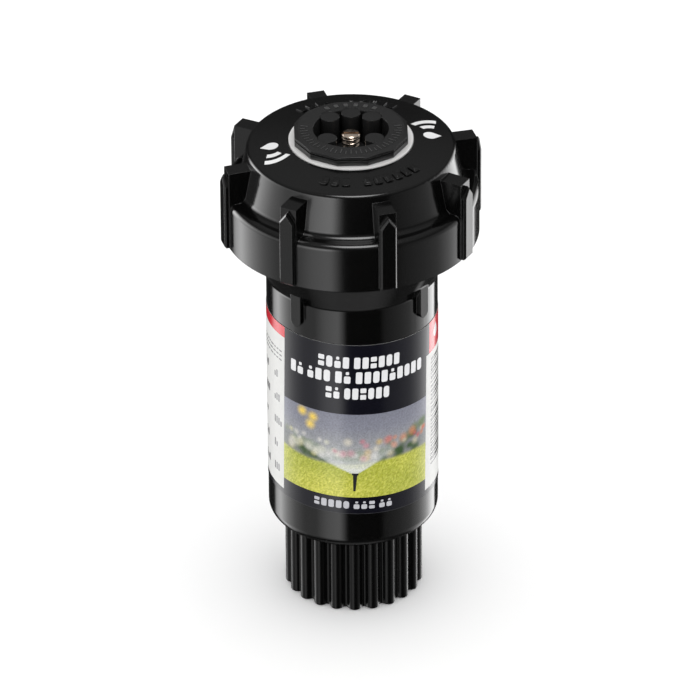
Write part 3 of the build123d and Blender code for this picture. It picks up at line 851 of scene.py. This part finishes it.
def cap_height(radius):
    """The height of the cap's sloping top at this radius."""
    return cap_high.z - CAP_DOME * (radius - CAP_HOLE_R) / (CAP_EDGE_R - CAP_HOLE_R)


def raised_patch(outline, lift, place):
    """A closed low block. place turns a flat point and a lift into a point on the object."""
    count = len(outline)
    sink = -0.08 * MM
    points = [place(x, y, depth) for depth in (lift, sink) for x, y in outline]
    faces = [tuple(range(count)), tuple(range(2 * count - 1, count - 1, -1))]
    for number in range(count):
        following = (number + 1) % count
        faces.append((number, number + count, following + count, following))
    mesh = bpy.data.meshes.new("patch")
    mesh.from_pydata(points, [], faces)
    return mesh


def on_cap(middle_r, middle_deg):
    """Flat coordinates laid on the cap's top: x along the rim, y outwards."""
    def place(x, y, lift):
        radius = middle_r + y
        turn = math.radians(middle_deg) + x / middle_r
        return around(radius, turn, cap_height(radius) + lift)
    return place


def cut_oblong(half_wide, half_tall, cut):
    """An oblong outline with cut corners, round the origin."""
    left, bottom, right, top = -half_wide, -half_tall, half_wide, half_tall
    return [
        (left + cut, bottom), (right - cut, bottom), (right, bottom + cut), (right, top - cut),
        (right - cut, top), (left + cut, top), (left, top - cut), (left, bottom + cut),
    ]


def drop_outline(x, y, size):
    """A water drop whose point is outwards."""
    outline = [(x, y + 1.7 * size)]
    for step in range(13):
        turn = math.radians(30 - 20 * step)
        outline.append((x + size * math.cos(turn), y + size * math.sin(turn)))
    return outline


def arc_stroke(x, y, radius, thick, start, end):
    """A curved stroke, like a line of spray."""
    steps = 8
    outer = []
    inner = []
    for step in range(steps + 1):
        turn = math.radians(start + (end - start) * step / steps)
        outer.append((x + radius * math.cos(turn), y + radius * math.sin(turn)))
        inner.append((x + (radius - thick) * math.cos(turn), y + (radius - thick) * math.sin(turn)))
    return outer + inner[::-1]


def make_cap_marks():
    """White drop-and-spray marks at both sides, and rows of low raised blocks front and back."""
    stroke_thick = 1.2 * MM
    paint = []
    for middle_deg in (-74.0, 107.0):
        place = on_cap(17.6 * MM, middle_deg)
        paint.append(raised_patch(drop_outline(-2.9 * MM, -0.6 * MM, 1.45 * MM), PAINT_LIFT, place))
        for radius in (3.6, 5.9):
            spread = 25 + radius
            stroke = arc_stroke(-2.0 * MM, -0.2 * MM, radius * MM, stroke_thick, -spread, spread)
            paint.append(raised_patch(stroke, PAINT_LIFT, place))
    piece("cap_spray_marks", merged("cap_spray_marks", paint), "cap_body", [white_paint])
    moulded = []
    tall = 1.25 * MM
    # distance from the axis, start and end in degrees, letters in each word
    rows = (
        (17.7, -22.0, 52.0, (3, 6)),
        (17.3, 146.0, 221.0, (5, 4)),
    )
    for radius, start, end, words in rows:
        units = sum(words) + len(words) - 1
        pitch = (end - start) / units
        angle = start
        for count in words:
            for _ in range(count):
                place = on_cap(radius * MM, angle + pitch / 2)
                wide = 0.36 * math.radians(pitch) * radius * MM
                moulded.append(raised_patch(cut_oblong(wide, tall, 0.3 * MM), BLOCK_LIFT, place))
                if chance.random() < 0.6:
                    dot = cut_oblong(wide * 0.5, tall * 0.5, 0.1 * MM)
                    moulded.append(raised_patch(dot, DOT_LIFT, place))
                angle += pitch
            angle += pitch
    piece("cap_raised_blocks", merged("cap_raised_blocks", moulded), "cap_body", [cap_abs])


def make_nozzle_marks():
    """Fine radial ticks round the disc's front and sides, and a row of small blocks at its back, in a lighter
    plastic that paints on the highlights of their edges.
    """
    top = disc_high.z
    half_tick = 0.08 * MM
    ticks = []

    def on_disc(turn_deg, outer):
        def place(x, y, lift):
            turn = math.radians(turn_deg)
            out = around(1.0, turn, 0.0)
            side = Vector((-out.y, out.x, 0.0))
            flat = out * (outer + y) + side * x
            return Vector((flat.x, flat.y, top + lift))
        return place

    for turn_deg in range(-96, 97, 6):
        major = turn_deg % 12 == 0
        length = (1.7 if major else 1.1) * MM
        outline = [(-half_tick, -length), (half_tick, -length), (half_tick, 0.0), (-half_tick, 0.0)]
        ticks.append(raised_patch(outline, TICK_LIFT, on_disc(turn_deg, 10.9 * MM)))
    for turn_deg in range(150, 211, 12):
        outline = cut_oblong(0.45 * MM, 0.6 * MM, 0.15 * MM)
        ticks.append(raised_patch(outline, 1.2 * TICK_LIFT, on_disc(turn_deg, 10.1 * MM)))
    # the ticks are moulded in the disc's plastic; their lighter colour is painted highlight
    piece("nozzle_ticks", merged("nozzle_ticks", ticks), "riser_body", [tick_highlight_plastic])


make_label()
make_screw()
make_spring()
make_filter_screen()
make_cap_marks()
make_nozzle_marks()

# ---------------------------------------------------------------- floor, light and camera


def make_floor():
    mesh = bpy.data.meshes.new("floor")
    half = 3.0
    corners = [(-half, -half, 0), (half, -half, 0), (half, half, 0), (-half, half, 0)]
    mesh.from_pydata(corners, [], [(0, 1, 2, 3)])
    floor = bpy.data.objects.new("floor", mesh)
    bpy.context.scene.collection.objects.link(floor)
    pale = Shader("floor", Roughness=0.7, Specular_IOR_Level=0.2)
    pale.feed("Base Color", pale.ramp(pale.noise(3.0), [(0.0, grey(0.93)), (1.0, grey(0.95))]))
    mesh.materials.append(pale.material)
    floor.visible_glossy = False
    # just under the foot, so that the two faces don't fight
    floor.location.z = -0.05 * MM


# Brightness of the studio as the gloss sees it, round the object from the front towards +X, in degrees.
# Two tall soft panels at the left, a dark front, a dim right side and a narrow bright panel behind right.
STUDIO = (
    (-180, 0.06), (-150, 0.02), (-136, 0.04), (-131, 1.6), (-118, 3.6), (-102, 2.2), (-86, 1.1),
    (-70, 0.6), (-52, 0.64), (-36, 1.5), (-19, 1.95), (-13, 0.9), (-8, 0.03), (38, 0.02),
    (44, 0.18), (68, 0.34), (84, 0.5), (100, 1.15), (118, 2.5), (131, 4.0), (143, 3.8),
    (147, 0.02), (180, 0.06),
)
STUDIO_PEAK = 4.0
SOFT_LIGHT = 1.25
CEILING = 0.32
LAMP = 8.0
LEFT_BOOST = 1.25
TABLE_DARK = 0.05
TABLE_LIT = 0.2


def make_world():
    world = bpy.data.worlds.new("studio")
    bpy.context.scene.world = world
    world.use_nodes = True
    tree = world.node_tree
    tree.nodes.clear()

    def node(kind, **settings):
        made = tree.nodes.new("ShaderNode" + kind)
        for name, value in settings.items():
            setattr(made, name, value)
        return made

    def calc(operation, a, b=0.0, c=0.0):
        made = node("Math", operation=operation)
        for socket, value in zip(made.inputs, (a, b, c)):
            if isinstance(value, bpy.types.NodeSocket):
                tree.links.new(value, socket)
            else:
                socket.default_value = value
        return made.outputs[0]

    def fade(value, dark_at, full_at):
        """0 where the value is at dark_at, 1 where it is at full_at, and held there beyond."""
        slope = 1.0 / (full_at - dark_at)
        made = calc("MULTIPLY_ADD", value, slope, -dark_at * slope)
        made.node.use_clamp = True
        return made

    def background(strength):
        made = node("Background")
        made.inputs["Color"].default_value = (1.0, 1.0, 1.0, 1.0)
        if isinstance(strength, bpy.types.NodeSocket):
            tree.links.new(strength, made.inputs["Strength"])
        else:
            made.inputs["Strength"].default_value = strength
        return made.outputs[0]

    direction = node("TexCoord").outputs["Generated"]
    parts = node("SeparateXYZ")
    tree.links.new(direction, parts.inputs[0])
    x, y, z = parts.outputs
    turn = calc("ARCTAN2", x, calc("MULTIPLY", y, -1.0))
    place = calc("ADD", calc("DIVIDE", turn, 2 * math.pi), 0.5)
    bands = node("ValToRGB")
    elements = bands.color_ramp.elements
    elements[0].position = 0.0
    elements[1].position = 1.0
    for element, (_, value) in zip(elements, (STUDIO[0], STUDIO[-1])):
        element.color = grey(value / STUDIO_PEAK)
    for angle, value in STUDIO[1:-1]:
        elements.new((angle + 180) / 360).color = grey(value / STUDIO_PEAK)
    tree.links.new(place, bands.inputs[0])
    round_about = calc("MULTIPLY", bands.outputs[0], STUDIO_PEAK)
    # the left panels are brightest level with the object
    left_and_level = calc("MULTIPLY", fade(x, 0.0, -1 / 3), fade(z, -0.4, 0.0))
    boost = calc("MULTIPLY_ADD", left_and_level, LEFT_BOOST, 1.0)
    round_about = calc("MULTIPLY", round_about, boost)
    # straight below lies a patch of lit table inside a dark ring
    ring = fade(z, -0.65, -0.817)
    table = calc("MULTIPLY_ADD", fade(z, -0.919, -0.981), TABLE_LIT, TABLE_DARK)
    lower = node("Mix", data_type="FLOAT")
    for socket, value in ((0, ring), (2, round_about), (3, table)):
        tree.links.new(value, lower.inputs[socket])
    round_about = lower.outputs[0]
    # overhead the bands give way to a dim ceiling with one lamp a little in front of the zenith
    ceiling = fade(z, 0.058, 0.442)
    lamp_direction = Vector((0.06, -0.33, 0.94)).normalized()
    toward = node("VectorMath", operation="DOT_PRODUCT")
    tree.links.new(direction, toward.inputs[0])
    toward.inputs[1].default_value = lamp_direction
    lamp = fade(toward.outputs["Value"], 0.946, 0.985)
    # the ceiling is dimmer where it meets the walls
    high = fade(z, 0.212, 0.8)
    above = calc("ADD", calc("MULTIPLY", high, CEILING), calc("MULTIPLY", lamp, LAMP))
    gloss = node("Mix", data_type="FLOAT")
    for socket, value in ((0, ceiling), (2, round_about), (3, above)):
        tree.links.new(value, gloss.inputs[socket])
    paths = node("LightPath")
    share = node("MixShader")
    tree.links.new(paths.outputs["Is Glossy Ray"], share.inputs[0])
    tree.links.new(background(SOFT_LIGHT), share.inputs[1])
    tree.links.new(background(gloss.outputs[0]), share.inputs[2])
    output = node("OutputWorld")
    tree.links.new(share.outputs[0], output.inputs[0])


CAMERA_DISTANCE = 1.8
CAMERA_RISE = math.radians(31.0)
CAMERA_ROLL = math.radians(-0.405)
LENS_TO_SENSOR = 11.906
AIM = Vector((-0.518 * MM, 0.0, 57.28 * MM))


def make_camera():
    data = bpy.data.cameras.new("camera")
    data.sensor_width = 36.0
    data.lens = data.sensor_width * LENS_TO_SENSOR
    data.clip_start = 0.05
    camera = bpy.data.objects.new("camera", data)
    bpy.context.scene.collection.objects.link(camera)
    back = Vector((0.0, -math.cos(CAMERA_RISE), math.sin(CAMERA_RISE)))
    camera.location = AIM + back * CAMERA_DISTANCE
    level = (-back).to_track_quat("-Z", "Y").to_matrix().to_4x4()
    camera.rotation_euler = (level @ Matrix.Rotation(CAMERA_ROLL, 4, "Z")).to_euler()
    bpy.context.scene.camera = camera


make_floor()
make_world()
make_camera()
bpy.context.scene.view_settings.view_transform = "Standard"
